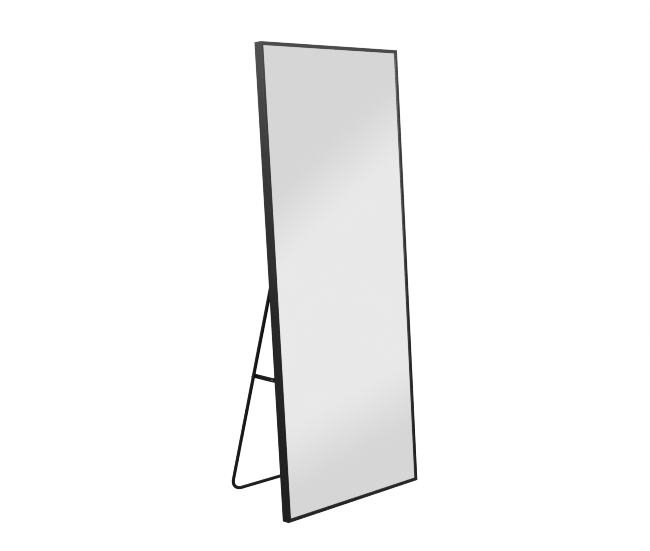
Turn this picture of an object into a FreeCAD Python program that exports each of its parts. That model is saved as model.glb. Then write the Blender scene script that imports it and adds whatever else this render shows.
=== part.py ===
"""Leaning floor mirror: a thin framed mirror on a folding U-shaped stand.

Millimetres. Two frames of reference are used.
The row frame has +Z up, +Y towards the back, and its origin on the floor at the centre of the footprint.
The mirror frame leans back by lean_angle: x across, y back from the frame's front face, z up the mirror.
"""

import FreeCAD
import Part
import Sketcher

import math
import os

# Driving dimensions: cell alias, value in millimetres or degrees, meaning.
DRIVING = [
    ("frame_width", 600.0, "outside width of the frame"),
    ("frame_height", 1500.0, "outside height of the frame"),
    ("frame_depth", 30.0, "front face to back face of the frame"),
    ("frame_wall", 1.6, "wall of the extrusion"),
    ("lip_width", 11.0, "front face of the frame, seen from the front"),
    ("lip_depth", 3.0, "how far the glass lies behind the front face"),
    ("groove_depth", 11.0, "room for the glass pack behind the lip"),
    ("web_width", 12.0, "web between the glass groove and the rear channel"),
    ("flange_width", 22.0, "rear flange, measured from the outer side"),
    ("flange_return", 5.0, "forward return on the rear flange"),
    ("edge_radius", 0.6, "rounding of the extrusion's outer corners"),
    ("glass_inset", 3.0, "frame's outer side to the glass edge"),
    ("glass_thickness", 4.0, "mirror glass"),
    ("liner_thickness", 2.0, "board liner behind the glass"),
    ("panel_thickness", 3.0, "back panel"),
    ("clip_length", 34.0, "spring clip"),
    ("clip_width", 8.0, "spring clip"),
    ("clip_steel", 0.5, "spring clip's strip"),
    ("clip_foot", 5.0, "flat end of a spring clip"),
    ("clip_inset", 3.6, "frame's outer side to a spring clip"),
    ("clip_pitch", 240.0, "from one spring clip to the next"),
    ("key_leg", 60.0, "corner key, along each rail"),
    ("key_width", 10.0, "corner key's leg"),
    ("key_clearance", 0.3, "corner key in its channel"),
    ("key_screw_place", 34.0, "corner to the corner key's screw"),
    ("screw_radius", 1.95, "machine screw's shank"),
    ("screw_length", 8.0, "machine screw under its head"),
    ("screw_head_radius", 3.6, "machine screw's head"),
    ("screw_head_height", 2.2, "machine screw's head"),
    ("recess_reach", 1.8, "cross recess, from the screw's axis"),
    ("recess_width", 0.9, "cross recess, across one slot"),
    ("recess_depth", 1.3, "cross recess, from the head's crown"),
    ("screw_clearance", 0.25, "screw hole larger than the shank"),
    ("thread_clearance", 0.05, "tapped hole larger than the shank"),
    ("lean_angle", 4.6, "mirror's lean from vertical"),
    ("pad_length", 44.0, "foot pad, along the bottom rail"),
    ("pad_front", 10.0, "frame's front face to the foot pad"),
    ("pad_back", 28.0, "frame's front face to the foot pad's back edge"),
    ("pad_thickness", 2.0, "foot pad at its back edge"),
    ("pad_inset", 70.0, "frame's outer side to the foot pad's centre"),
    ("stand_angle", 21.36, "leg to the mirror when open"),
    ("hinge_height", 835.8, "bottom of the mirror to the leg hinge"),
    ("hinge_standoff", 12.0, "back of the frame to the hinge axis"),
    ("leg_inset", 48.0, "frame's outer side to the leg's axis"),
    ("tube_radius", 6.0, "stand tube"),
    ("tube_wall", 1.2, "stand tube"),
    ("bend_radius", 45.0, "stand tube's bends, on the axis"),
    ("leg_end", 7.5, "leg's end above the hinge axis"),
    ("cap_thickness", 1.5, "plug's cap on the leg's end"),
    ("cap_plug", 3.4, "plug inside the leg"),
    ("cap_clearance", 0.1, "plug in the tube"),
    ("pin_radius", 2.5, "hinge bolts and rivets"),
    ("pivot_clearance", 0.05, "running clearance round a pivot"),
    ("bush_radius", 3.5, "bush through the leg at the hinge"),
    ("bush_length", 12.8, "bush through the leg at the hinge"),
    ("side_gap", 0.3, "gap between faces that turn against each other"),
    ("ear_thickness", 2.5, "bracket plate and ears"),
    ("ear_radius", 9.0, "round end of a bracket's ear"),
    ("plate_margin", 3.0, "frame's outer side to a bracket's plate"),
    ("plate_corner", 4.0, "round corner of a bracket's plate"),
    ("hinge_plate_height", 56.0, "hinge bracket's plate, up the mirror"),
    ("stay_plate_height", 48.0, "stay bracket's plate, up the mirror"),
    ("plate_screw_inset", 11.0, "frame's outer side to a bracket's screws"),
    ("plate_screw_margin", 9.0, "end of a bracket's plate to its screw"),
    ("nut_plate_width", 13.0, "nut plate in the rear channel"),
    ("nut_plate_thickness", 3.0, "nut plate in the rear channel"),
    ("stay_height", 432.5, "bottom of the mirror to the stay's pivot"),
    ("stay_on_leg", 422.6, "leg hinge to the stay's pivot on the leg"),
    ("link_width", 15.0, "stay link"),
    ("link_thickness", 2.0, "stay link"),
    ("spacer_thickness", 1.9, "spacer between the leg and the stay"),
    ("spacer_radius", 5.5, "spacer between the leg and the stay"),
    ("seat_gap", 0.05, "spacer or head on its seat"),
    ("head_radius", 4.0, "rivet's head"),
    ("head_height", 1.5, "rivet's head"),
    ("bolt_head_radius", 4.5, "hinge bolt's head"),
    ("bolt_head_height", 2.6, "hinge bolt's head"),
    ("socket_radius", 1.7, "hexagon socket in a hinge bolt, to its corners"),
    ("socket_depth", 1.6, "hexagon socket, from the head's crown"),
    ("nut_radius", 4.4, "hinge nut, from its axis to its corners"),
    ("nut_height", 3.6, "hinge nut"),
]


class Size:
    """A length that carries the sheet expression it comes from."""

    def __init__(self, number, text=None):
        self.number = float(number)
        self.text = repr(self.number) if text is None else text

    def joined(self, sign, left, right, number):
        return Size(number, f"({left.text} {sign} {right.text})")

    def __add__(self, other):
        other = as_size(other)
        return self.joined("+", self, other, self.number + other.number)

    def __sub__(self, other):
        other = as_size(other)
        return self.joined("-", self, other, self.number - other.number)

    def __mul__(self, other):
        other = as_size(other)
        return self.joined("*", self, other, self.number * other.number)

    def __truediv__(self, other):
        other = as_size(other)
        return self.joined("/", self, other, self.number / other.number)

    def __rmul__(self, other):
        return as_size(other) * self

    def __neg__(self):
        return Size(-self.number, f"(0 - {self.text})")

    def __float__(self):
        return self.number


def as_size(value):
    """A plain number as a Size; a Size stays as it is."""
    return value if isinstance(value, Size) else Size(value)


doc = FreeCAD.newDocument("FloorMirror")
sheet = doc.addObject("Spreadsheet::Sheet", "Sizes")
sizes = {}
nodes = []


def keep(alias, value, meaning):
    """Write one named value in the sheet and return it as a Size."""
    row = len(sizes) + 1
    sheet.set(f"A{row}", alias)
    sheet.set(f"B{row}", repr(value))
    sheet.set(f"C{row}", meaning)
    sheet.setAlias(f"B{row}", alias)
    sizes[alias] = Size(value, f"Sizes.{alias}")
    return sizes[alias]


def of(alias):
    """The named value."""
    return sizes[alias]


for alias, value, meaning in DRIVING:
    keep(alias, value, meaning)


# Geometry that follows from the driving dimensions

def vector(x, y, z):
    """A vector from numbers or named values."""
    return FreeCAD.Vector(float(x), float(y), float(z))


lean = math.radians(float(of("lean_angle")))
spread = math.radians(float(of("stand_angle")))
hinge_depth = keep(
    "hinge_depth",
    float(of("frame_depth") + of("hinge_standoff")),
    "frame's front face to the hinge axis",
)

# The foot pads' flat undersides lie on the floor, and so does the foot bar.
floor_lift = (
    float(of("pad_back")) * math.sin(lean)
    + float(of("pad_thickness")) * math.cos(lean)
)
hinge_rise = (
    floor_lift
    + float(of("hinge_height")) * math.cos(lean)
    - float(hinge_depth) * math.sin(lean)
)
leg_length = keep(
    "leg_length",
    (hinge_rise - float(of("tube_radius"))) / math.cos(spread - lean),
    "hinge axis to the foot bar's axis",
)
footprint = (
    float(hinge_depth) * math.cos(lean)
    + float(of("hinge_height")) * math.sin(lean)
    + float(leg_length) * math.sin(spread - lean)
    + float(of("tube_radius"))
)
LEANING = FreeCAD.Placement(
    FreeCAD.Vector(0, -footprint / 2, floor_lift),
    FreeCAD.Rotation(FreeCAD.Vector(1, 0, 0), -float(of("lean_angle"))),
)

half_width = of("frame_width") / 2
leg_place = half_width - of("leg_inset")

# The stay: straight when the stand is open, and folded flat when the leg lies along the mirror.
hinge = vector(0, hinge_depth, of("hinge_height"))
leg_direction = FreeCAD.Vector(0, math.sin(spread), -math.cos(spread))
leg_pivot = hinge + leg_direction * float(of("stay_on_leg"))
stay_pivot = vector(0, hinge_depth, of("stay_height"))
stay_direction = (stay_pivot - leg_pivot).normalize()
stay_length = leg_pivot.distanceToPoint(stay_pivot)
folded_offset = stay_pivot.z - (hinge.z - float(of("stay_on_leg")))
outer_length = keep("outer_length", (stay_length + folded_offset) / 2, "leg pivot to elbow")
inner_length = keep("inner_length", (stay_length - folded_offset) / 2, "elbow to frame pivot")
elbow = leg_pivot + stay_direction * float(outer_length)

# Places across the stay, measured inwards from the leg's axis.
spacer_face = of("tube_radius") + of("seat_gap")
outer_link_face = spacer_face + of("spacer_thickness") + of("seat_gap")
inner_link_face = outer_link_face + of("link_thickness") + of("side_gap")
stay_ear_face = inner_link_face + of("link_thickness") + of("side_gap")
hinge_ear_face = of("bush_length") / 2 + of("side_gap")


# Tools for sketches and features

def axes(origin, x_axis, z_axis):
    """The place whose local X and Z axes point along the given ones."""
    turn = FreeCAD.Rotation(x_axis, z_axis.cross(x_axis), z_axis, "ZXY")
    return FreeCAD.Placement(origin, turn)


X = FreeCAD.Vector(1, 0, 0)
Y = FreeCAD.Vector(0, 1, 0)
Z = FreeCAD.Vector(0, 0, 1)
SIDES = (("left", -1), ("right", 1))


def new_body(label, place, kept=True):
    """An empty body in the mirror frame; a kept one is a sub-part of its own."""
    item = doc.addObject("PartDesign::Body", label)
    item.Label = label
    item.Placement = LEANING * place if kept else place
    if kept:
        nodes.append(item)
    return item


def bind(feature, name, length):
    """Tie one property of a feature to the sheet."""
    feature.setExpression(name, as_size(length).text)


def new_sketch(item, role, height=0.0):
    """A sketch on one of the body's own origin planes, lifted off it by a height."""
    sketch = item.newObject("Sketcher::SketchObject", item.Label + "_sketch")
    support = next(plane for plane in item.Origin.OriginFeatures if plane.Role == role)
    sketch.AttachmentSupport = (support, "")
    sketch.MapMode = "FlatFace"
    bind(sketch, "AttachmentOffset.Base.z", height)
    return sketch


def pin_point(sketch, geometry, point, across, up):
    """Fix one end or centre of a sketch edge at named distances from the origin."""
    for kind, axis, length in (("DistanceX", -2, across), ("DistanceY", -1, up)):
        if length is None:
            continue
        length = as_size(length)
        if length.text == "0.0":
            sketch.addConstraint(Sketcher.Constraint("PointOnObject", geometry, point, axis))
        elif length.number > 0:
            rule = Sketcher.Constraint(kind, -1, 1, geometry, point, length.number)
            sketch.setExpression(f"Constraints[{sketch.addConstraint(rule)}]", length.text)
        else:
            rule = Sketcher.Constraint(kind, geometry, point, -1, 1, -length.number)
            sketch.setExpression(f"Constraints[{sketch.addConstraint(rule)}]", (-length).text)


def draw(sketch, corners, closed=True):
    """Draw straight and round edges through the corners.

    A corner is (across, up), or (across, up, centre_across, centre_up) where the edge that
    leaves it is an arc, counter-clockwise about that centre.
    """
    count = len(corners)
    edges = count if closed else count - 1
    for index in range(edges):
        here = corners[index]
        there = corners[(index + 1) % count]
        start = FreeCAD.Vector(float(here[0]), float(here[1]), 0)
        end = FreeCAD.Vector(float(there[0]), float(there[1]), 0)
        if len(here) == 2:
            sketch.addGeometry(Part.LineSegment(start, end))
        else:
            centre = FreeCAD.Vector(float(here[2]), float(here[3]), 0)
            first = math.atan2(start.y - centre.y, start.x - centre.x)
            last = math.atan2(end.y - centre.y, end.x - centre.x)
            if last <= first:
                last += 2 * math.pi
            circle = Part.Circle(centre, Z, start.distanceToPoint(centre))
            sketch.addGeometry(Part.ArcOfCircle(circle, first, last))
    for index in range(edges):
        if closed or index + 1 < edges:
            following = (index + 1) % edges
            sketch.addConstraint(Sketcher.Constraint("Coincident", index, 2, following, 1))
        pin_point(sketch, index, 1, corners[index][0], corners[index][1])
        if len(corners[index]) == 4:
            here = corners[index]
            there = corners[(index + 1) % count]
            wide = abs(float(there[0]) - float(here[0])) > abs(float(there[1]) - float(here[1]))
            pin_point(sketch, index, 3, None if wide else here[2], here[3] if wide else None)
    if not closed:
        pin_point(sketch, edges - 1, 2, corners[-1][0], corners[-1][1])


def pad(item, sketch, length, both_ways=False):
    """Extrude a sketch along its normal, or half the length each way."""
    feature = item.newObject("PartDesign::Pad", item.Label + "_pad")
    feature.Profile = sketch
    feature.SideType = "Symmetric" if both_ways else "One side"
    bind(feature, "Length", length)
    return feature


def cut_through(item, sketch):
    """Cut a sketch through the whole body, both ways."""
    feature = item.newObject("PartDesign::Pocket", item.Label + "_cut")
    feature.Profile = sketch
    feature.SideType = "Symmetric"
    feature.Type = "ThroughAll"


def turn(item, corners):
    """A solid of revolution about the body's Z axis, from corners (radius, height)."""
    sketch = new_sketch(item, "XZ_Plane")
    draw(sketch, corners)
    feature = item.newObject("PartDesign::Revolution", item.Label + "_turned")
    feature.Profile = sketch
    feature.ReferenceAxis = (sketch, ["V_Axis"])
    feature.Angle = 360


def shape_on_axis(item, kind, start, along, lengths):
    """A primitive of the body that starts at a point and runs along a local axis."""
    feature = item.newObject("PartDesign::" + kind, item.Label + "_" + kind)
    feature.Placement.Rotation = FreeCAD.Rotation(Z, along)
    for axis, place in zip("xyz", start):
        bind(feature, "Placement.Base." + axis, place)
    for name, length in lengths.items():
        bind(feature, name, length)
    return feature


def sink(item, corners, height, depth):
    """Cut an outline into the body, down from a height on its Z axis."""
    outline = new_sketch(item, "XY_Plane", height)
    draw(outline, corners)
    feature = item.newObject("PartDesign::Pocket", item.Label + "_recess")
    feature.Profile = outline
    bind(feature, "Length", depth)


def bore(item, start, along, radius, depth):
    """A round hole from a point, along a local axis."""
    shape_on_axis(item, "SubtractiveCylinder", start, along, {"Radius": radius, "Height": depth})


def round_edges(item, along, radius):
    """Round every edge of the last feature that runs along a local axis."""
    doc.recompute()
    base = item.Tip
    names = []
    for number, edge in enumerate(base.Shape.Edges, start=1):
        straight = isinstance(edge.Curve, Part.Line)
        if straight and abs(edge.tangentAt(edge.FirstParameter).dot(along)) > 0.999:
            names.append(f"Edge{number}")
    feature = item.newObject("PartDesign::Fillet", item.Label + "_rounded")
    feature.Base = (base, names)
    bind(feature, "Radius", radius)


def hexagon(corner):
    """Corners of a regular hexagon about the origin."""
    flat = corner * math.sqrt(3) / 2
    half = corner / 2
    return [(corner, 0), (half, flat), (-half, flat), (-corner, 0), (-half, -flat), (half, -flat)]


def cross(reach, width):
    """Corners of an upright cross about the origin."""
    half = width / 2
    return [
        (half, half), (half, reach), (-half, reach),
        (-half, half), (-reach, half), (-reach, -half),
        (-half, -half), (-half, -reach), (half, -reach),
        (half, -half), (reach, -half), (reach, half),
    ]


def domed(radius, height, base):
    """Corners of a domed head's outline, from its rim to its crown."""
    sphere = (radius * radius + height * height) / (2 * height)
    return [(radius, base, 0, base + height - sphere), (0, base + height)]


def group(label, members):
    """One sub-part of several separate, identical solids."""
    item = doc.addObject("Part::Compound", label)
    item.Label = label
    item.Links = members
    item.Placement = LEANING
    nodes.append(item)


# The frame: four mitred lengths of one extrusion

def member_places():
    """Name, length and place of each length: local X inwards, Y back, Z along it."""
    right = float(half_width)
    top = float(of("frame_height"))
    width = of("frame_width")
    height = of("frame_height")
    return [
        ("left_stile", height, axes(vector(-right, 0, 0), X, Z)),
        ("right_stile", height, axes(vector(right, 0, top), -X, -Z)),
        ("top_rail", width, axes(vector(-right, 0, top), -Z, X)),
        ("bottom_rail", width, axes(vector(right, 0, 0), Z, -X)),
    ]


def bracket_screw_heights():
    """Heights of the bracket screws up the mirror, hinge bracket first."""
    heights = []
    for centre, plate in (("hinge_height", "hinge_plate_height"), ("stay_height", "stay_plate_height")):
        reach = of(plate) / 2 - of("plate_screw_margin")
        heights += [of(centre) - reach, of(centre) + reach]
    return heights


def section_corners():
    """The extrusion's section: across from the outer side, and back from the front face."""
    wall = of("frame_wall")
    depth = of("frame_depth")
    web = of("lip_depth") + of("groove_depth")
    lip = of("lip_width")
    flange = of("flange_width")
    edge = of("edge_radius")
    return [
        (0, edge, edge, edge),
        (edge, 0),
        (lip - edge, 0, lip - edge, edge),
        (lip, edge),
        (lip, of("lip_depth")),
        (lip - wall, of("lip_depth")),
        (lip - wall, wall),
        (wall, wall),
        (wall, web),
        (of("web_width"), web),
        (of("web_width"), web + wall),
        (wall, web + wall),
        (wall, depth - wall),
        (flange - wall, depth - wall),
        (flange - wall, depth - of("flange_return")),
        (flange, depth - of("flange_return")),
        (flange, depth),
        (edge, depth, edge, depth - edge),
        (0, depth - edge),
    ]


def key_centre():
    """The frame's outer side to the middle of a corner key's leg."""
    return of("frame_wall") + of("key_clearance") + of("key_width") / 2


def make_member(label, length, place):
    """One length of the extrusion, mitred at both ends and drilled through its rear flange."""
    item = new_body(label, place)
    section = new_sketch(item, "XY_Plane")
    draw(section, section_corners())
    pad(item, section, length)
    reach = of("flange_width") + of("frame_wall")
    spare = -of("frame_wall")
    for near, far in ((spare, reach), (length - spare, length - reach)):
        mitre = new_sketch(item, "XZ_Plane")
        draw(mitre, [(spare, near), (reach, near), (reach, far)])
        cut_through(item, mitre)
    inner_face = of("frame_depth") - of("frame_wall") * 1.5
    holes = [(key_centre(), of("key_screw_place")), (key_centre(), length - of("key_screw_place"))]
    if label.endswith("stile"):
        for height in bracket_screw_heights():
            along = height if label == "left_stile" else length - height
            holes.append((of("plate_screw_inset"), along))
    radius = of("screw_radius") + of("screw_clearance")
    for across, along in holes:
        bore(item, (across, inner_face, along), Y, radius, of("frame_wall") * 2)


def make_corner_key(label, place):
    """A corner block in the rear channels of two mitred lengths."""
    item = new_body(label, place)
    outer = of("frame_wall") + of("key_clearance")
    inner = outer + of("key_width")
    front = of("lip_depth") + of("groove_depth") + of("frame_wall") + of("key_clearance")
    back = of("frame_depth") - of("frame_wall") - of("key_clearance")
    key = new_sketch(item, "XZ_Plane", -front)
    end = outer + of("key_leg")
    draw(key, [(outer, outer), (end, outer), (end, inner), (inner, inner), (inner, end), (outer, end)])
    feature = pad(item, key, back - front)
    feature.Reversed = True
    depth = of("screw_length")
    radius = of("screw_radius") + of("thread_clearance")
    for x, z in ((of("key_screw_place"), key_centre()), (key_centre(), of("key_screw_place"))):
        bore(item, (x, back - depth, z), Y, radius, depth + of("frame_wall"))


def make_screw(name, x, y, z):
    """A machine screw whose head sits on a rear face; its axis runs back."""
    item = new_body(name, axes(vector(x, y, z), X, Y), kept=False)
    shank = of("screw_radius")
    head = of("screw_head_radius")
    rim = of("screw_head_height") / 2
    crown = domed(head, of("screw_head_height") - rim, rim)
    turn(item, [(0, -of("screw_length")), (shank, -of("screw_length")), (shank, 0), (head, 0)] + crown)
    sink(item, cross(of("recess_reach"), of("recess_width")), of("screw_head_height"), of("recess_depth"))
    return item


def corner_places():
    """Name, place and inward directions of each corner, the place turned about Y."""
    right = float(half_width)
    top = float(of("frame_height"))
    return [
        ("bottom_left", axes(vector(-right, 0, 0), X, Z)),
        ("bottom_right", axes(vector(right, 0, 0), Z, -X)),
        ("top_right", axes(vector(right, 0, top), -X, -Z)),
        ("top_left", axes(vector(-right, 0, top), -Z, X)),
    ]


def make_frame():
    """Rails, stiles, corner keys and their screws."""
    for label, length, place in member_places():
        make_member(label, length, place)
    screws = []
    for name, place in corner_places():
        make_corner_key(name + "_corner_key", place)
        for x, z in ((of("key_screw_place"), key_centre()), (key_centre(), of("key_screw_place"))):
            head = place.multVec(vector(x, of("frame_depth"), z))
            screws.append(make_screw("corner_screw", head.x, head.y, head.z))
    group("corner_screws", screws)


# The glass pack: mirror glass, liner and back panel, held forward by spring clips

def make_sheet(label, front, thickness):
    """One flat sheet of the glass pack."""
    inset = of("glass_inset")
    corner = vector(inset - half_width, front, inset)
    item = new_body(label, FreeCAD.Placement(corner, FreeCAD.Rotation()))
    width = of("frame_width") - inset * 2
    height = of("frame_height") - inset * 2
    shape_on_axis(item, "AdditiveBox", (0, 0, 0), Z, {
        "Length": width,
        "Width": thickness,
        "Height": height,
    })


def make_clip(x_axis, z_axis, origin):
    """A bowed strip that presses the back panel forward: local X inwards, Y back, Z along the rail."""
    item = new_body("spring_clip", axes(origin, x_axis, z_axis), kept=False)
    bow = new_sketch(item, "YZ_Plane")
    end = of("clip_length") / 2
    foot = of("clip_foot")
    steel = of("clip_steel")
    pack = of("glass_thickness") + of("liner_thickness") + of("panel_thickness")
    height = of("groove_depth") - pack
    draw(bow, [
        (height, -end),
        (height, foot - end),
        (steel, -foot),
        (steel, foot),
        (height, end - foot),
        (height, end),
        (height - steel, end),
        (height - steel, end - foot),
        (0, foot),
        (0, -foot),
        (height - steel, foot - end),
        (height - steel, -end),
    ])
    pad(item, bow, of("clip_width"))
    return item


def make_glass_pack():
    """Sheets from the front to the back, then the clips behind them."""
    front = of("lip_depth")
    for label, thickness in (
        ("mirror_glass", of("glass_thickness")),
        ("board_liner", of("liner_thickness")),
        ("back_panel", of("panel_thickness")),
    ):
        make_sheet(label, front, thickness)
        front = front + thickness
    clips = []
    for label, length, place in member_places():
        count = int(float(length) // float(of("clip_pitch")))
        for number in range(count):
            along = float(length) / 2 + (number - (count - 1) / 2) * float(of("clip_pitch"))
            origin = place.multVec(vector(of("clip_inset"), front, along))
            inwards = place.Rotation.multVec(X)
            clips.append(make_clip(inwards, place.Rotation.multVec(Z), origin))
    group("spring_clips", clips)


def make_foot_pads():
    """Rubber wedges under the bottom rail, flat on the floor."""
    rise = (of("pad_back") - of("pad_front")) * math.tan(lean)
    thick = of("pad_thickness")
    for side, sign in SIDES:
        centre = sign * (half_width - of("pad_inset"))
        item = new_body(side + "_foot_pad", FreeCAD.Placement(vector(centre, 0, 0), FreeCAD.Rotation()))
        wedge = new_sketch(item, "YZ_Plane")
        draw(wedge, [
            (of("pad_front"), 0),
            (of("pad_front"), -(thick + rise)),
            (of("pad_back"), -thick),
            (of("pad_back"), 0),
        ])
        pad(item, wedge, of("pad_length"), both_ways=True)


# Brackets on the rear flanges of the stiles

def make_bracket(label, sign, height, plate_height, ears):
    """A plate on the rear flange with round-ended ears; local X inwards from the leg's axis, Z up."""
    thick = of("ear_thickness")
    radius = of("ear_radius")
    inner = max(ears, key=float) + thick
    outer = -(of("leg_inset") - of("plate_margin"))
    centre = vector(sign * leg_place, of("frame_depth"), height)
    item = new_body(label, axes(centre, -sign * X, -sign * Z))
    shape_on_axis(item, "AdditiveBox", (outer, 0, -plate_height / 2), Z, {
        "Length": inner - outer,
        "Width": thick,
        "Height": plate_height,
    })
    round_edges(item, Y, of("plate_corner"))
    pivot = of("hinge_standoff")
    for start in ears:
        ear = new_sketch(item, "YZ_Plane", start)
        draw(ear, [(0, -radius), (pivot, -radius, pivot, 0), (pivot, radius), (0, radius)])
        pad(item, ear, thick)
        hole = of("pin_radius") + of("pivot_clearance")
        bore(item, (start - thick / 2, pivot, 0), X, hole, thick * 2)
    reach = plate_height / 2 - of("plate_screw_margin")
    across = of("plate_screw_inset") - of("leg_inset")
    for along in (-reach, reach):
        bore(item, (across, -thick / 2, along), Y, of("screw_radius") + of("screw_clearance"), thick * 2)


def make_nut_plate(sign, height, plate_height):
    """A tapped strip in the rear channel, behind one bracket."""
    back = of("frame_depth") - of("frame_wall")
    centre = vector(sign * (half_width - of("plate_screw_inset")), back, height)
    item = new_body("nut_plate", axes(centre, X, Z), kept=False)
    thick = of("nut_plate_thickness")
    width = of("nut_plate_width")
    length = plate_height - of("plate_corner") * 2
    shape_on_axis(item, "AdditiveBox", (-width / 2, -thick, -length / 2), Z, {
        "Length": width,
        "Width": thick,
        "Height": length,
    })
    reach = plate_height / 2 - of("plate_screw_margin")
    for along in (-reach, reach):
        bore(item, (0, -thick * 1.5, along), Y, of("screw_radius") + of("thread_clearance"), thick * 2)
    return item


def make_brackets():
    """Hinge and stay brackets on both sides, their screws and nut plates."""
    screws = []
    plates = []
    head_face = of("frame_depth") + of("ear_thickness")
    kinds = [
        ("hinge", (hinge_ear_face, -(hinge_ear_face + of("ear_thickness")))),
        ("stay", (stay_ear_face,)),
    ]
    for side, sign in SIDES:
        for kind, ears in kinds:
            height = of(kind + "_height")
            plate_height = of(kind + "_plate_height")
            make_bracket(f"{side}_{kind}_bracket", sign, height, plate_height, ears)
            plates.append(make_nut_plate(sign, height, plate_height))
        across = sign * (half_width - of("plate_screw_inset"))
        for height in bracket_screw_heights():
            screws.append(make_screw("bracket_screw", across, head_face, height))
    group("bracket_screws", screws)
    group("nut_plates", plates)


def make_hinge_bolts():
    """A shouldered bolt through each hinge bracket, with its nut on the inner side."""
    outside = hinge_ear_face + of("ear_thickness")
    length = outside * 2
    head = of("bolt_head_radius")
    nuts = []
    for side, sign in SIDES:
        start = vector(sign * (leg_place + outside), hinge_depth, of("hinge_height"))
        item = new_body(side + "_hinge_bolt", axes(start, Y, sign * X))
        tail = length + of("nut_height")
        rim = of("bolt_head_height") / 2
        crown = domed(head, of("bolt_head_height") - rim, rim)
        turn(item, [(0, -tail), (of("pin_radius"), -tail), (of("pin_radius"), 0), (head, 0)] + crown)
        sink(item, hexagon(of("socket_radius")), of("bolt_head_height"), of("socket_depth"))
        seat = vector(sign * (leg_place - outside), hinge_depth, of("hinge_height"))
        nuts.append(make_nut(axes(seat, Y, -sign * X)))
    group("hinge_nuts", nuts)


def make_nut(place):
    """A hexagon nut: local Z away from its seat."""
    item = new_body("hinge_nut", place, kept=False)
    outline = new_sketch(item, "XY_Plane")
    draw(outline, hexagon(of("nut_radius")))
    height = of("nut_height")
    pad(item, outline, height)
    bore(item, (0, 0, -height / 2), Z, of("pin_radius") + of("thread_clearance"), height * 2)
    return item


# The stand: one bent tube, hinged at the tops of its legs

STAND = FreeCAD.Placement(hinge, FreeCAD.Rotation(X, float(of("stand_angle"))))


def on_stand(origin, x_axis, z_axis):
    """A place given in the stand's frame: X across, Z up the legs, origin between the hinges."""
    return STAND * axes(origin, x_axis, z_axis)


def make_stand_tube():
    """The U-shaped tube, bored across at the hinges and at the stay rivets."""
    item = new_body("stand_tube", STAND)
    ring = new_sketch(item, "XY_Plane", of("leg_end"))
    for number, radius in enumerate((of("tube_radius"), of("tube_radius") - of("tube_wall"))):
        centre = vector(-leg_place, 0, 0)
        ring.addGeometry(Part.Circle(centre, Z, float(radius)))
        pin_point(ring, number, 3, -leg_place, 0)
        rule = ring.addConstraint(Sketcher.Constraint("Radius", number, float(radius)))
        bind(ring, f"Constraints[{rule}]", radius)
    bend = of("bend_radius")
    foot = -of("leg_length")
    path = new_sketch(item, "XZ_Plane")
    draw(path, [
        (-leg_place, of("leg_end")),
        (-leg_place, foot + bend, bend - leg_place, foot + bend),
        (bend - leg_place, foot),
        (leg_place - bend, foot, leg_place - bend, foot + bend),
        (leg_place, foot + bend),
        (leg_place, of("leg_end")),
    ], closed=False)
    pipe = item.newObject("PartDesign::AdditivePipe", "stand_tube_pipe")
    pipe.Profile = ring
    pipe.Spine = path
    across = of("frame_width")
    bore(item, (-half_width, 0, 0), X, of("bush_radius") + of("seat_gap"), across)
    bore(item, (-half_width, 0, -of("stay_on_leg")), X, of("pin_radius") + of("seat_gap"), across)


def make_leg_fittings():
    """Plug, hinge bush, stay spacer and stay rivet of each leg."""
    radius = of("tube_radius")
    inside = radius - of("tube_wall") - of("cap_clearance")
    hole = of("pin_radius") + of("pivot_clearance")
    spacers = []
    for side, sign in SIDES:
        inwards = -sign * X
        top = vector(sign * leg_place, 0, of("leg_end"))
        plug = new_body(side + "_leg_plug", on_stand(top, X, Z))
        turn(plug, [
            (0, -of("cap_plug")),
            (inside, -of("cap_plug")),
            (inside, 0),
            (radius, 0),
            (radius, of("cap_thickness")),
            (0, of("cap_thickness")),
        ])
        axis = vector(sign * leg_place, 0, 0)
        bush = new_body(side + "_hinge_bush", on_stand(axis, Y, inwards))
        half = of("bush_length") / 2
        outer = of("bush_radius")
        turn(bush, [(hole, -half), (outer, -half), (outer, half), (hole, half)])
        pivot = vector(sign * leg_place, 0, -of("stay_on_leg"))
        spacers.append(make_spacer(on_stand(pivot, Y, inwards)))
        rivet = new_body(side + "_leg_rivet", on_stand(pivot, Y, inwards))
        shape_leg_rivet(rivet)
    group("stay_spacers", spacers)


def make_spacer(place):
    """A washer between the leg and the outer link."""
    item = new_body("stay_spacer", place, kept=False)
    hole = of("pin_radius") + of("pivot_clearance")
    end = spacer_face + of("spacer_thickness")
    rim = of("spacer_radius")
    turn(item, [(hole, spacer_face), (rim, spacer_face), (rim, end), (hole, end)])
    return item


def shape_leg_rivet(item):
    """A rivet through the leg, its spacer and the outer link, domed at both ends."""
    shank = of("pin_radius")
    head = of("head_radius")
    height = of("head_height")
    sphere = (head * head + height * height) / (2 * height)
    left = -(of("tube_radius") + of("seat_gap"))
    right = outer_link_face + of("link_thickness") + of("seat_gap")
    turn(item, [
        (0, left - height, 0, left - height + sphere),
        (head, left),
        (shank, left),
        (shank, right),
        (head, right, 0, right + height - sphere),
        (0, right + height),
    ])


# The stay: two flat links on each side, meeting at an elbow

def make_link(label, origin, direction, sign, face, length, screwed):
    """A flat link: local X to the other pivot, Z inwards; the screwed end is sunk on its outer face."""
    inwards = -sign * X
    place = axes(origin + inwards * float(face), direction, inwards)
    item = new_body(label, place)
    radius = of("link_width") / 2
    strip = new_sketch(item, "XY_Plane")
    draw(strip, [
        (0, -radius),
        (length, -radius, length, 0),
        (length, radius),
        (0, radius, 0, 0),
    ])
    thick = of("link_thickness")
    pad(item, strip, thick)
    hole = of("pin_radius") + of("pivot_clearance")
    for place in (0, length):
        bore(item, (place, 0, -thick / 2), Z, hole, thick * 2)
    if screwed:
        shape_on_axis(item, "SubtractiveCone", (0, 0, 0), Z, {
            "Radius1": of("head_radius") + of("pivot_clearance"),
            "Radius2": hole,
            "Height": of("head_height"),
        })


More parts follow.
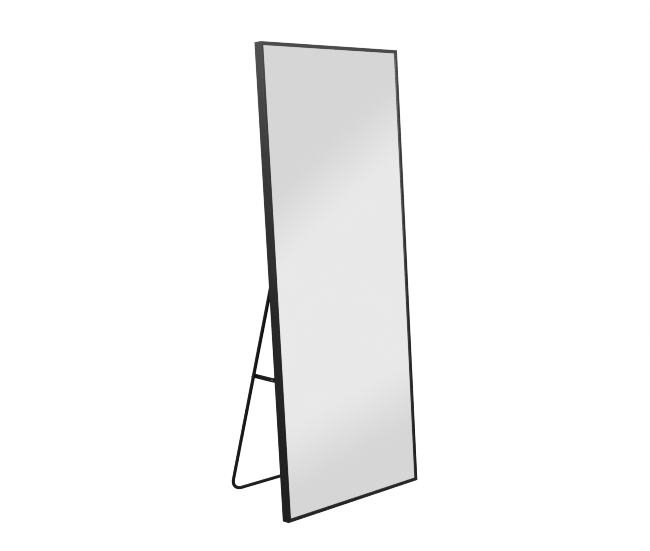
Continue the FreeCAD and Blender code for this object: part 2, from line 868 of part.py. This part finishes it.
def make_elbow_rivet(label, origin, sign, face, outwards):
    """Half of the elbow's rivet: a domed head and a shank as deep as its own link."""
    inwards = -sign * X
    thick = float(of("link_thickness"))
    seat = float(face) if outwards else float(face) + thick
    item = new_body(label, axes(origin + inwards * seat, Y, -inwards if outwards else inwards))
    shank = of("pin_radius")
    head = of("head_radius")
    gap = of("seat_gap")
    end = -of("link_thickness")
    crown = domed(head, of("head_height"), gap)
    turn(item, [(0, end), (shank, end), (shank, gap)] + crown)


def make_stay_pin(label, sign):
    """The pin of the stay bracket, sunk flush in the inner link and headed behind the ear."""
    inwards = -sign * X
    origin = stay_pivot + vector(sign * leg_place, 0, 0)
    item = new_body(label, axes(origin, Y, inwards))
    shank = of("pin_radius")
    head = of("head_radius")
    sink = of("head_height")
    start = inner_link_face + of("seat_gap")
    end = stay_ear_face + of("ear_thickness") + of("seat_gap")
    turn(item, [
        (0, start),
        (head - of("pivot_clearance"), start),
        (shank, start + sink),
        (shank, end),
    ] + domed(head, sink, end))


def make_stays():
    """Both links, their elbow rivet and the frame pin, on each side."""
    for side, sign in SIDES:
        shift = vector(sign * leg_place, 0, 0)
        make_link(
            side + "_outer_link", leg_pivot + shift, stay_direction, sign,
            outer_link_face, of("outer_length"), screwed=False,
        )
        make_link(
            side + "_inner_link", stay_pivot + shift, -stay_direction, sign,
            inner_link_face, of("inner_length"), screwed=True,
        )
        make_elbow_rivet(side + "_elbow_rivet", elbow + shift, sign, outer_link_face, outwards=True)
        make_elbow_rivet(side + "_elbow_stud", elbow + shift, sign, inner_link_face, outwards=False)
        make_stay_pin(side + "_stay_pin", sign)


def check_and_write():
    """Stop on any broken feature or shape, then write one file for each sub-part."""
    doc.recompute()
    for item in doc.Objects:
        if "Invalid" in item.State or "Error" in item.State:
            raise RuntimeError(f"{item.Label} did not compute: {item.State}")
    os.makedirs("parts", exist_ok=True)
    for item in nodes:
        if item.Shape.isNull() or not item.Shape.isValid():
            raise RuntimeError(f"{item.Label} has no valid shape")
        solids = len(item.Shape.Solids)
        print(f"{item.Label:28s} {solids:3d} solids {item.Shape.Volume:12.1f} mm3")
        item.Shape.exportStep(os.path.join("parts", item.Label + ".step"))


def report_pivots():
    """Print each pivot in the row frame."""
    across = float(leg_place)
    pivots = {"hinge": hinge, "leg pivot": leg_pivot, "elbow": elbow, "stay pivot": stay_pivot}
    for name, pivot in pivots.items():
        place = LEANING.multVec(pivot)
        print(f"{name}: x {across:.2f} y {place.y:.3f} z {place.z:.3f}")
    print(f"leg {float(of('leg_length')):.2f}, footprint {footprint:.2f}, lift {floor_lift:.3f}")


make_frame()
make_glass_pack()
make_foot_pads()
make_brackets()
make_hinge_bolts()
make_stand_tube()
make_leg_fittings()
make_stays()
check_and_write()
report_pivots()
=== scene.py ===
"""Looks of the leaning floor mirror: finishes, mirror plate, camera, lamps and floor around its frame."""

import functools
import math

import bmesh
import bpy
from mathutils import Matrix, Vector


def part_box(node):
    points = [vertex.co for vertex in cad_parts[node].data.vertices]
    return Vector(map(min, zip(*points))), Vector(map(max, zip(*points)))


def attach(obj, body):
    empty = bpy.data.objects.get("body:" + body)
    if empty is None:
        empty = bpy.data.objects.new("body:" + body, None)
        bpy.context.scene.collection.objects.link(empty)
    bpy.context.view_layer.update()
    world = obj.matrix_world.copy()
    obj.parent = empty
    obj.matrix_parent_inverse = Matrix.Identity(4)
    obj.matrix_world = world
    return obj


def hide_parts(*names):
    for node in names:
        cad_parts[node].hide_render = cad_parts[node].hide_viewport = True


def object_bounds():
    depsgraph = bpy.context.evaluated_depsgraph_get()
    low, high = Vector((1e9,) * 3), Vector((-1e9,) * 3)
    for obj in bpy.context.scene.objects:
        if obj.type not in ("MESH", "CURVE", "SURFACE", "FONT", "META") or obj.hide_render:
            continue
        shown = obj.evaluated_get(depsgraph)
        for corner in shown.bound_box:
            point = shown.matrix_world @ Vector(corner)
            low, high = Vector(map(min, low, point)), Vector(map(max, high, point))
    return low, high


MM = 0.001
MICRON = 0.000001

# The mirror leans back by this angle, and its stiles show this much face beside the glass.
LEAN = math.radians(4.6)
FACE_WIDTH = 11.0 * MM

# The glass plate: its arrises, the share of facing that counts as square on, and its material slots.
ARRIS = 0.4 * MM
SQUARE_ON = 0.999
FRONT, EDGE, BACK = range(3)

# Tones of the frame's black coat, matched to the photograph.
COAT_DARK = 0.0059
COAT_LIGHT = 0.007
# The coat's edges are lighter: partly edge wear, partly a painted highlight.
COAT_EDGE_WEAR_AND_HIGHLIGHT = 0.014
# A painted highlight on the stiles' inner lip walls, stronger high up.
COAT_LIP_HIGHLIGHT = 0.028
COAT_SCUFFED = 0.014

# How finely that coat varies across and along its die lines, in lumps per metre.
ACROSS_LINES = 900.0
ALONG_LINES = 4.0

# The photograph's camera, fitted to the mirror's outline. Its lens and sensor are in millimetres.
CAMERA_PLACE = (-2.35631, -2.59013, 1.2523)
CAMERA_YAW = math.radians(42.565)
CAMERA_PITCH = math.radians(8.246)
CAMERA_LENS = 58.164
SENSOR_WIDTH = 36.0
CAMERA_REACH = 100.0

# How many pixels an edge is blended over.
PIXEL_FILTER = 1.0

# What the mirror shows: the studio's own tone, and lighter bands between soft planes. A plane has the
# direction of its light side, half the width of its soft edge, and how far it is moved that way.
STUDIO_TONE = 0.723
BAND_TONE = 0.870
BACKDROP_TONE = 1.0
RIGHT_BAND = (
    ((0.4724, 0.3698, -0.8001), 0.0358, 0.0),
    ((-0.1895, -0.384, 0.9037), 0.0357, 0.0),
)
FRONT_BAND = (
    ((-0.2, 0.0, 1.0), 0.035, -0.07),
    ((0.2, 0.0, -1.0), 0.035, -0.09),
    ((-1.0, 0.0, 0.0), 0.08, -0.47),
)

# Each lamp's place, what it points at, its width and height, its watts and its spread in degrees.
LAMPS = {
    "front_light": ((0.0, -0.7, 2.1), (0.0, -0.05, 1.35), (1.6, 0.3), 59.0, 110.0),
    "left_light": ((-0.9, 0.0, 2.1), (-0.3, -0.05, 1.35), (0.6, 0.3), 38.0, 100.0),
    "right_light": ((1.3, -0.1, 1.3), (0.3, 0.0, 0.8), (0.6, 0.3), 20.0, 110.0),
    "back_light": ((0.0, 1.3, 1.9), (0.0, 0.0, 0.9), (1.4, 0.6), 14.0, 120.0),
}

# The floor is wide enough for every view. It lies this far below the feet because the folded foot bar
# reaches 34 mm below them.
FLOOR_REACH = 40.0
FLOOR_DROP = 36.0 * MM
FLOOR_GLOW = 0.97


def as_lists(corners):
    return [[float(number) for number in corner] for corner in corners]


# ---------------------------------------------------------------- node helpers


class Nodes:
    """Short calls that add nodes to the tree of a material or of the world."""

    def __init__(self, tree):
        self.tree = tree

    def put(self, value, socket):
        """Link a socket to another, or set it to a number, a vector or a colour."""
        if isinstance(value, bpy.types.NodeSocket):
            self.tree.links.new(value, socket)
        elif socket.type == "RGBA":
            socket.default_value = (*value, 1.0)
        else:
            socket.default_value = value

    def node(self, kind, **values):
        """A node whose settings, or inputs of those names, are given values."""
        made = self.tree.nodes.new(kind)
        for name, value in values.items():
            if hasattr(made, name):
                setattr(made, name, value)
            else:
                self.put(value, made.inputs[name.replace("_", " ").title()])
        return made

    def maths(self, operation, *values, kind="ShaderNodeMath"):
        """The number that an operation makes of numbers or, with another kind of node, of vectors."""
        made = self.node(kind, operation=operation)
        for value, socket in zip(values, made.inputs):
            self.put(value, socket)
        return made.outputs["Value"]

    def times(self, first, second):
        return self.maths("MULTIPLY", first, second)

    def spread(self, source, low, high, start=0.3, end=0.7, steps="LINEAR"):
        """The source's values from start to end spread over low to high."""
        made = self.node("ShaderNodeMapRange", interpolation_type=steps, value=source)
        for name, value in (("From Min", start), ("From Max", end), ("To Min", low), ("To Max", high)):
            self.put(value, made.inputs[name])
        return made.outputs["Result"]

    def fading(self, source, start, end):
        """1 while the source is under start, and down to 0 at end."""
        return self.spread(source, 1.0, 0.0, start, end)


class Paint(Nodes):
    """One material, with short calls for the finish on its shader.

    The colour and roughness that it starts with are for viewers that show no nodes.
    """

    def __init__(self, name, colour, roughness, metallic=0.0, specular=0.5):
        self.material = bpy.data.materials.new(name)
        self.material.use_nodes = True
        super().__init__(self.material.node_tree)
        self.shader = self.tree.nodes["Principled BSDF"]
        self.set_input("Base Color", colour)
        self.set_input("Roughness", roughness)
        self.set_input("Metallic", metallic)
        self.set_input("Specular IOR Level", specular)
        self.place = self.node("ShaderNodeTexCoord").outputs["Object"]

    def set_input(self, name, value):
        """Give that input of the shader a value or a link."""
        self.put(value, self.shader.inputs[name])

    def set_colour(self, source):
        self.set_input("Base Color", source)

    def set_roughness(self, source, low, high, start=0.3, end=0.7):
        """Roughness from low to high as the source goes from start to end."""
        self.set_input("Roughness", self.spread(source, low, high, start, end))

    def set_bump(self, source, depth, strength):
        """A relief of that depth in metres."""
        made = self.node("ShaderNodeBump", strength=strength, distance=depth)
        self.put(source, made.inputs["Height"])
        self.set_input("Normal", made.outputs["Normal"])

    def stretched(self, scale=(1.0, 1.0, 1.0), turn=(0.0, 0.0, 0.0)):
        """Object coordinates, turned and then scaled along each axis."""
        turned = self.node("ShaderNodeMapping", vector=self.place, rotation=turn)
        return self.node("ShaderNodeMapping", vector=turned.outputs[0], scale=scale).outputs[0]

    def noise(self, scale, detail=3.0, rough=0.5, place=None):
        """Soft noise of that many lumps per metre, or per unit of a place of its own."""
        made = self.node("ShaderNodeTexNoise", vector=place or self.place, scale=scale, detail=detail)
        self.put(rough, made.inputs["Roughness"])
        return made.outputs["Fac"]

    def cells(self, scale):
        """How far a point is from the middle of its cell, with that many cells per metre."""
        return self.node("ShaderNodeTexVoronoi", vector=self.place, scale=scale).outputs["Distance"]

    def mixed(self, amount, first, second):
        """A colour between two, each a colour or a socket."""
        made = self.node("ShaderNodeMix", data_type="RGBA", factor=amount)
        colours = [socket for socket in made.inputs if socket.type == "RGBA"]
        for value, socket in zip((first, second), colours):
            self.put(value, socket)
        return next(socket for socket in made.outputs if socket.type == "RGBA")

    def mottled(self, source, dark, light):
        """A colour that drifts between two as the source does."""
        return self.mixed(self.spread(source, 0.0, 1.0), dark, light)

    def edges(self, radius, softness=0.06):
        """0 on open faces and 1 along edges that a hand or a rag rubs, and on the frame's coat also where
        it gets a painted edge highlight.
        """
        rounded = self.node("ShaderNodeBevel", samples=4, radius=radius).outputs["Normal"]
        flat = self.node("ShaderNodeNewGeometry").outputs["Normal"]
        meeting = self.maths("DOT_PRODUCT", rounded, flat, kind="ShaderNodeVectorMath")
        return self.fading(meeting, 1.0 - softness, 1.0)

    def rubbed(self, radius, scale, low, high, detail=4.0):
        """The edges, rubbed unevenly between a low and a high share; on the frame's coat they also carry
        a painted highlight.
        """
        return self.times(self.edges(radius), self.spread(self.noise(scale, detail), low, high))


def grey(tone):
    return (tone, tone, tone)


# ------------------------------------------------------------------- materials


def painted_lip_highlight(paint, lip_face, glass_face):
    """Where the stiles' inner lip walls in front of the glass get a painted highlight, stronger high up.
    """
    upright = paint.node("ShaderNodeSeparateXYZ", vector=paint.stretched(turn=(LEAN, 0.0, 0.0))).outputs
    aside = paint.maths("ABSOLUTE", upright["X"])
    beside = paint.fading(aside, lip_face + 0.1 * MM, lip_face + 0.4 * MM)
    before = paint.fading(upright["Y"], glass_face, glass_face + 0.1 * MM)
    higher = paint.spread(upright["Z"], low=0.4, high=1.0, start=0.3, end=0.8)
    return paint.times(paint.times(beside, before), higher)


def floor_scuffs(paint):
    """How far shoes and mops have dulled the bottom rail, in streaks along it."""
    height = paint.node("ShaderNodeSeparateXYZ", vector=paint.place).outputs["Z"]
    low_down = paint.fading(height, 30.0 * MM, 80.0 * MM)
    streaks = paint.noise(1.0, detail=4.0, rough=0.6, place=paint.stretched((25.0, 200.0, 400.0)))
    return paint.times(low_down, paint.spread(streaks, low=0.05, high=0.75, start=0.35, end=0.65))


def satin_coat(name, lines, turn=(0.0, 0.0, 0.0), lip=None):
    """Black anodised extrusion: fine matte tooth, faint die lines along it, edges a little lighter,
    partly rubbed and partly a painted highlight.

    A coat with a lip gets a painted highlight on its inner lip walls, stronger high up, and a coat
    without one is scuffed near the floor.
    """
    paint = Paint(name, grey(0.0062), 0.46, specular=0.03)
    base = paint.mottled(paint.noise(7.0, detail=4.0), grey(COAT_DARK), grey(COAT_LIGHT))
    # Lighter edges, partly rubbed and partly a painted highlight.
    coat = paint.mixed(paint.rubbed(1.2 * MM, 60.0, low=0.4, high=1.0), base, grey(COAT_EDGE_WEAR_AND_HIGHLIGHT))
    if lip:
        # Painted highlight on the inner lip walls in front of the glass, stronger high up.
        coat = paint.mixed(painted_lip_highlight(paint, *lip), coat, grey(COAT_LIP_HIGHLIGHT))
    else:
        coat = paint.mixed(floor_scuffs(paint), coat, grey(COAT_SCUFFED))
    drawn = paint.noise(1.0, detail=2.0, rough=0.6, place=paint.stretched(lines, turn))
    paint.set_colour(coat)
    paint.set_roughness(drawn, 0.43, 0.5)
    paint.set_bump(paint.noise(1500.0, detail=2.0), 20.0 * MICRON, 0.35)
    return paint.material


def powder_coat(name, tone, bare_tone, roughness, peel):
    """Powder-coated steel: rounded orange peel of that depth, uneven gloss and rubbed edges."""
    paint = Paint(name, grey(tone), roughness, specular=0.04)
    cloud = paint.noise(12.0, detail=4.0)
    base = paint.mottled(cloud, grey(tone * 0.88), grey(tone * 1.15))
    rubbed = paint.rubbed(0.8 * MM, 90.0, low=0.0, high=0.7)
    paint.set_colour(paint.mixed(rubbed, base, grey(bare_tone)))
    paint.set_roughness(cloud, roughness - 0.04, roughness + 0.05)
    paint.set_bump(paint.noise(620.0, rough=0.45), peel, 0.5)
    return paint.material


def plated(name, colour, darker, roughness, spangles):
    """Bright plated metal with spangle and a duller skin in places."""
    paint = Paint(name, colour, roughness, metallic=1.0)
    tone = paint.spread(paint.cells(spangles), low=0.0, high=1.0, start=0.1, end=0.8)
    stain = paint.spread(paint.noise(220.0, detail=5.0), low=0.0, high=0.55, start=0.45, end=0.75)
    paint.set_colour(paint.mixed(stain, paint.mixed(tone, colour, darker), darker))
    paint.set_roughness(paint.noise(450.0, detail=4.0), roughness - 0.05, roughness + 0.1)
    paint.set_bump(paint.noise(2200.0, detail=2.0), 10.0 * MICRON, 0.4)
    return paint.material


def rubbed_rivet(name, axis):
    """Rivet painted with the stay, its crown rubbed bright by the folding links, with a ragged rim."""
    paint = Paint(name, grey(0.5), 0.3)
    flattened = paint.node("ShaderNodeMapping", vector=paint.place, scale=(0.0, 1.0, 1.0)).outputs[0]
    off_axis = paint.maths("DISTANCE", flattened, axis, kind="ShaderNodeVectorMath")
    ragged = paint.spread(paint.noise(1600.0, detail=4.0), -0.2 * MM, 0.2 * MM)
    bare = paint.fading(paint.maths("ADD", off_axis, ragged), 1.0 * MM, 1.9 * MM)
    scratches = paint.noise(1400.0)
    steel = paint.mottled(scratches, grey(0.55), grey(0.7))
    paint.set_colour(paint.mixed(bare, grey(0.009), steel))
    paint.set_input("Metallic", bare)
    paint.set_roughness(scratches, 0.26, 0.42)
    paint.set_bump(scratches, 10.0 * MICRON, 0.4)
    return paint.material


def cast_metal(name):
    """Die-cast zinc: grainy grey skin with flow marks."""
    paint = Paint(name, grey(0.36), 0.5, metallic=1.0)
    flow = paint.noise(60.0, detail=5.0, rough=0.6)
    paint.set_colour(paint.mottled(flow, grey(0.3), grey(0.42)))
    paint.set_roughness(flow, 0.42, 0.6)
    paint.set_bump(paint.noise(900.0, detail=4.0, rough=0.65), 60.0 * MICRON, 0.6)
    return paint.material


def oxide_screw(name):
    """Black-oxide screw steel, worn brighter along its edges."""
    paint = Paint(name, grey(0.05), 0.42, metallic=1.0)
    skin = paint.noise(700.0, detail=4.0)
    base = paint.mottled(skin, grey(0.035), grey(0.07))
    worn = paint.rubbed(0.4 * MM, 900.0, low=0.1, high=0.9, detail=3.0)
    paint.set_colour(paint.mixed(worn, base, grey(0.3)))
    paint.set_roughness(skin, 0.36, 0.5)
    paint.set_bump(skin, 20.0 * MICRON, 0.4)
    return paint.material


def spring_steel(name):
    """Blued spring strip with rolling lines that run along the frame's depth."""
    paint = Paint(name, (0.09, 0.1, 0.13), 0.3, metallic=1.0)
    rolled = paint.noise(1.0, rough=0.6, place=paint.stretched((600.0, 40.0, 600.0)))
    paint.set_colour(paint.mottled(paint.noise(80.0), (0.07, 0.08, 0.12), (0.13, 0.13, 0.14)))
    paint.set_roughness(rolled, 0.24, 0.4)
    paint.set_bump(rolled, 10.0 * MICRON, 0.4)
    return paint.material


def hardboard(name):
    """Brown fibreboard panel: short fibres and darker flecks."""
    paint = Paint(name, (0.13, 0.075, 0.042), 0.72, specular=0.3)
    fibre = paint.noise(1.0, detail=5.0, rough=0.65, place=paint.stretched((900.0, 900.0, 160.0)))
    base = paint.mottled(paint.noise(5.0, detail=4.0), (0.118, 0.068, 0.038), (0.142, 0.083, 0.047))
    combed = paint.mixed(paint.spread(fibre, 0.0, 0.7), base, (0.19, 0.118, 0.072))
    fleck = paint.spread(paint.cells(240.0), low=0.75, high=0.0, start=0.04, end=0.16)
    paint.set_colour(paint.mixed(fleck, combed, (0.055, 0.03, 0.018)))
    paint.set_roughness(fibre, 0.64, 0.82)
    paint.set_bump(fibre, 120.0 * MICRON, 0.6)
    return paint.material


def liner_board(name):
    """Soft grey chipboard liner."""
    paint = Paint(name, (0.3, 0.28, 0.25), 0.9, specular=0.2)
    pulp = paint.noise(350.0, detail=5.0, rough=0.7)
    paint.set_colour(paint.mottled(pulp, (0.24, 0.225, 0.2), (0.37, 0.35, 0.32)))
    paint.set_roughness(pulp, 0.84, 0.97)
    paint.set_bump(pulp, 150.0 * MICRON, 0.6)
    return paint.material


def rubber(name):
    """Dark rubber with a moulded stipple and some dust."""
    paint = Paint(name, grey(0.022), 0.8, specular=0.35)
    stipple = paint.cells(1100.0)
    dust = paint.spread(paint.noise(150.0, detail=4.0), low=0.0, high=0.5, start=0.45, end=0.75)
    paint.set_colour(paint.mixed(dust, grey(0.02), grey(0.05)))
    paint.set_roughness(stipple, 0.72, 0.88, start=0.1, end=0.8)
    paint.set_bump(stipple, 60.0 * MICRON, 0.6)
    return paint.material


def moulded(name, dark, light):
    """Moulded plastic: spark-eroded texture and slightly uneven tone."""
    paint = Paint(name, grey(dark), 0.5, specular=0.4)
    eroded = paint.noise(1900.0, rough=0.6)
    paint.set_colour(paint.mottled(paint.noise(260.0), grey(dark), grey(light)))
    paint.set_roughness(eroded, 0.44, 0.58)
    paint.set_bump(eroded, 30.0 * MICRON, 0.5)
    return paint.material


def silvered(name):
    """The silvered face: a clean mirror with the faintest uneven polish."""
    paint = Paint(name, grey(0.93), 0.012, metallic=1.0)
    haze = paint.noise(5.0, detail=5.0, rough=0.6)
    paint.set_colour(paint.mottled(haze, grey(0.926), grey(0.934)))
    paint.set_roughness(haze, 0.006, 0.02)
    return paint.material


def glass_edge(name):
    """The ground edge of the glass, grey-green."""
    paint = Paint(name, (0.2, 0.3, 0.26), 0.35)
    ground = paint.noise(1200.0)
    paint.set_colour(paint.mottled(ground, (0.15, 0.25, 0.21), (0.3, 0.4, 0.36)))
    paint.set_roughness(ground, 0.3, 0.5)
    paint.set_bump(ground, 30.0 * MICRON, 0.5)
    return paint.material


def backing_paint(name):
    """The grey protective paint on the back of the glass."""
    paint = Paint(name, grey(0.22), 0.55, specular=0.4)
    rolled = paint.noise(420.0, detail=4.0)
    paint.set_colour(paint.mottled(rolled, grey(0.2), grey(0.25)))
    paint.set_roughness(rolled, 0.5, 0.64)
    paint.set_bump(rolled, 30.0 * MICRON, 0.5)
    return paint.material


# ---------------------------------------------------------------------- pieces


def foremost(item):
    """How far forward a node reaches, square to the leaning mirror."""
    points = [point.co for point in item.data.vertices]
    return min(point.y * math.cos(LEAN) - point.z * math.sin(LEAN) for point in points)


def rivet_axis(node):
    """Where the axis of a rivet that lies along X passes, at X = 0."""
    low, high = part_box(node)
    return (0.0, (low[1] + high[1]) / 2, (low[2] + high[2]) / 2)


def mirror_plate(source, front, edge, back):
    """The glass plate with its edges arrised: silver in front, ground edges, painted back."""
    shape = bmesh.new()
    shape.from_mesh(source.data)
    bmesh.ops.remove_doubles(shape, verts=shape.verts, dist=0.01 * MM)
    bmesh.ops.dissolve_limit(shape, angle_limit=math.radians(1.0), verts=shape.verts, edges=shape.edges)
    bmesh.ops.bevel(shape, geom=list(shape.edges), offset=ARRIS, segments=2, profile=0.5, affect="EDGES")
    forward = Vector((0.0, -math.cos(LEAN), math.sin(LEAN)))
    for polygon in shape.faces:
        facing = polygon.normal.dot(forward)
        polygon.material_index = EDGE
        if facing > SQUARE_ON:
            polygon.material_index = FRONT
        elif facing < -SQUARE_ON:
            polygon.material_index = BACK
        polygon.smooth = False
    data = bpy.data.meshes.new("mirror_plate")
    shape.to_mesh(data)
    shape.free()
    for finish in (front, edge, back):
        data.materials.append(finish)
    piece = bpy.data.objects.new("mirror_plate", data)
    bpy.context.scene.collection.objects.link(piece)
    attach(piece, "mirror")
    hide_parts("mirror_glass")


# ----------------------------------------------------------------------- stage


def set_view():
    """Tones as they are, without a film look, and crisp edges."""
    scene = bpy.context.scene
    scene.view_settings.view_transform = "Standard"
    scene.view_settings.look = "None"
    if hasattr(scene, "cycles"):
        scene.cycles.filter_width = PIXEL_FILTER


def add_camera():
    data = bpy.data.cameras.new("camera")
    data.sensor_fit = "HORIZONTAL"
    data.sensor_width = SENSOR_WIDTH
    data.lens = CAMERA_LENS
    data.clip_end = CAMERA_REACH
    item = bpy.data.objects.new("camera", data)
    item.location = CAMERA_PLACE
    item.rotation_euler = (math.pi / 2 - CAMERA_PITCH, 0.0, -CAMERA_YAW)
    bpy.context.scene.collection.objects.link(item)
    bpy.context.scene.camera = item


def add_light(name, place, target, size, watts, spread):
    """A soft lamp that the mirror and the coats don't reflect."""
    data = bpy.data.lights.new(name, "AREA")
    data.shape = "RECTANGLE"
    data.size, data.size_y = size
    data.energy = watts
    data.spread = math.radians(spread)
    item = bpy.data.objects.new(name, data)
    item.location = place
    aim = Vector(target) - Vector(place)
    item.rotation_euler = aim.to_track_quat("-Z", "Y").to_euler()
    item.visible_glossy = False
    bpy.context.scene.collection.objects.link(item)


def add_world():
    """An even pale studio with soft lighter bands for the mirror, and a white backdrop for the camera."""
    world = bpy.data.worlds.new("studio")
    bpy.context.scene.world = world
    world.use_nodes = True
    sky = Nodes(world.node_tree)
    direction = sky.node("ShaderNodeTexCoord").outputs["Generated"]

    def light_side(normal, softness, offset):
        """1 on the side of a plane that its normal points to, and 0 on the other."""
        height = sky.maths("DOT_PRODUCT", direction, normal, kind="ShaderNodeVectorMath")
        return sky.spread(height, 0.0, 1.0, offset - softness, offset + softness, "SMOOTHSTEP")

    def between(planes):
        return functools.reduce(sky.times, [light_side(*plane) for plane in planes])

    band = sky.maths("MAXIMUM", between(RIGHT_BAND), between(FRONT_BAND))
    glow = sky.spread(band, STUDIO_TONE, BAND_TONE, 0.0, 1.0)
    ray = sky.node("ShaderNodeLightPath").outputs["Is Camera Ray"]
    seen = sky.node("ShaderNodeMix", data_type="FLOAT", factor=ray, a=glow, b=BACKDROP_TONE)
    shader = sky.tree.nodes["Background"]
    sky.put(seen.outputs["Result"], shader.inputs["Strength"])
    sky.put(grey(1.0), shader.inputs["Color"])


def add_floor():
    """A plain pale floor that glows almost white, and that the mirror doesn't show."""
    shape = bmesh.new()
    below = Matrix.Translation((0.0, 0.0, -FLOOR_DROP))
    bmesh.ops.create_grid(shape, x_segments=8, y_segments=8, size=FLOOR_REACH, matrix=below)
    data = bpy.data.meshes.new("floor")
    shape.to_mesh(data)
    shape.free()
    paint = Paint("floor_paint", grey(0.05), 0.9, specular=0.0)
    paint.set_input("Emission Color", grey(1.0))
    paint.set_input("Emission Strength", FLOOR_GLOW)
    paint.set_colour(paint.mottled(paint.noise(2.0), grey(0.05), grey(0.055)))
    data.materials.append(paint.material)
    floor = bpy.data.objects.new("floor", data)
    bpy.context.scene.collection.objects.link(floor)
    floor.visible_glossy = False


# ------------------------------------------------------------------------ make

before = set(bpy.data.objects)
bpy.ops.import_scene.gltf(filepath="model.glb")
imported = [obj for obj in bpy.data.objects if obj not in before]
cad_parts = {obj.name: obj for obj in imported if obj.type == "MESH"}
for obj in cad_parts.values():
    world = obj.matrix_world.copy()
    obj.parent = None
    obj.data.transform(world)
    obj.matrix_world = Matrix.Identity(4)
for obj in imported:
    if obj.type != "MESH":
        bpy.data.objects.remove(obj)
cad_box = as_lists(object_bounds())

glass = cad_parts["mirror_glass"]
half_width = cad_box[1][0]
lip = (half_width - FACE_WIDTH, foremost(glass))

FINISHES = {
    "frame": satin_coat("rail_coat", (ALONG_LINES, ACROSS_LINES, ACROSS_LINES)),
    "glass": silvered("mirror_silver"),
    "key": cast_metal("cast_key"),
    "screw": oxide_screw("black_screw"),
    "liner": liner_board("liner_board"),
    "panel": hardboard("hardboard"),
    "spring": spring_steel("blued_spring"),
    "pad": rubber("foot_rubber"),
    "bracket": powder_coat("bracket_coat", 0.004, 0.02, 0.5, 60.0 * MICRON),
    "zinc": plated("zinc_plate", grey(0.62), grey(0.42), 0.3, 500.0),
    "tube": powder_coat("tube_coat", 0.006, 0.02, 0.48, 40.0 * MICRON),
    "plug": moulded("plug_black", 0.018, 0.026),
    "bush": moulded("bush_nylon", 0.012, 0.02),
    "rivet": powder_coat("rivet_coat", 0.01, 0.08, 0.42, 20.0 * MICRON),
}
stile_coat = satin_coat("stile_coat", (ACROSS_LINES, ACROSS_LINES, ALONG_LINES), (LEAN, 0.0, 0.0), lip)
elbow_steel = rubbed_rivet("elbow_rivet_steel", rivet_axis("left_elbow_rivet"))

for name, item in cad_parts.items():
    slot = item.material_slots[0]
    if "elbow" in name:
        slot.material = elbow_steel
    elif name.endswith("stile"):
        slot.material = stile_coat
    else:
        slot.material = FINISHES[slot.name]
mirror_plate(glass, FINISHES["glass"], glass_edge("glass_edge"), backing_paint("backing_paint"))

set_view()
add_camera()
add_world()
add_floor()
for name, lamp in LAMPS.items():
    add_light(name, *lamp)
